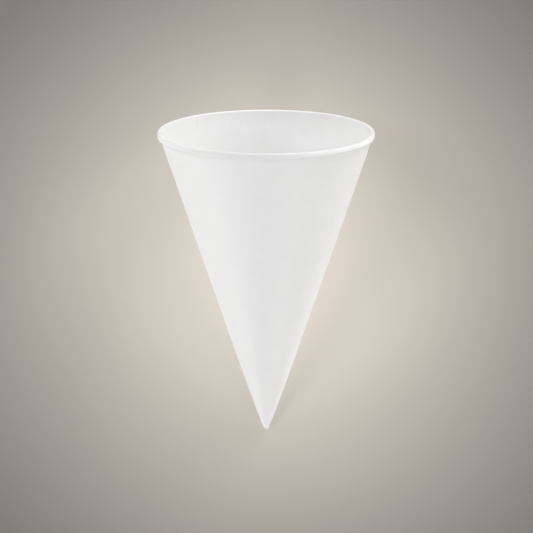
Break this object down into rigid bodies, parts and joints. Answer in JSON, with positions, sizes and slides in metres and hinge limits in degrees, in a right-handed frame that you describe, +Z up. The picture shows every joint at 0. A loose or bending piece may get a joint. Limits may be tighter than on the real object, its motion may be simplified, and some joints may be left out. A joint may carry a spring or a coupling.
{
  "type": "cone paper cup",
  "caption": "White cone paper cup with a rolled rim, a lapped wound wall and a closed blunt point, lying on its side.",
  "frame": {"origin": "under the middle of the lying cup's box, on the surface it lies on", "axes": "+Y from the point to the mouth along the surface, +Z up, +X towards the sheet's inner end"},
  "size_m": [0.072, 0.1092, 0.0685],
  "materials": {
    "paper": "bleached uncoated cup paper, smooth and dull"
  },
  "bodies": {
    "root": {"paper_cone": "paper"}
  },
  "joints": []
}
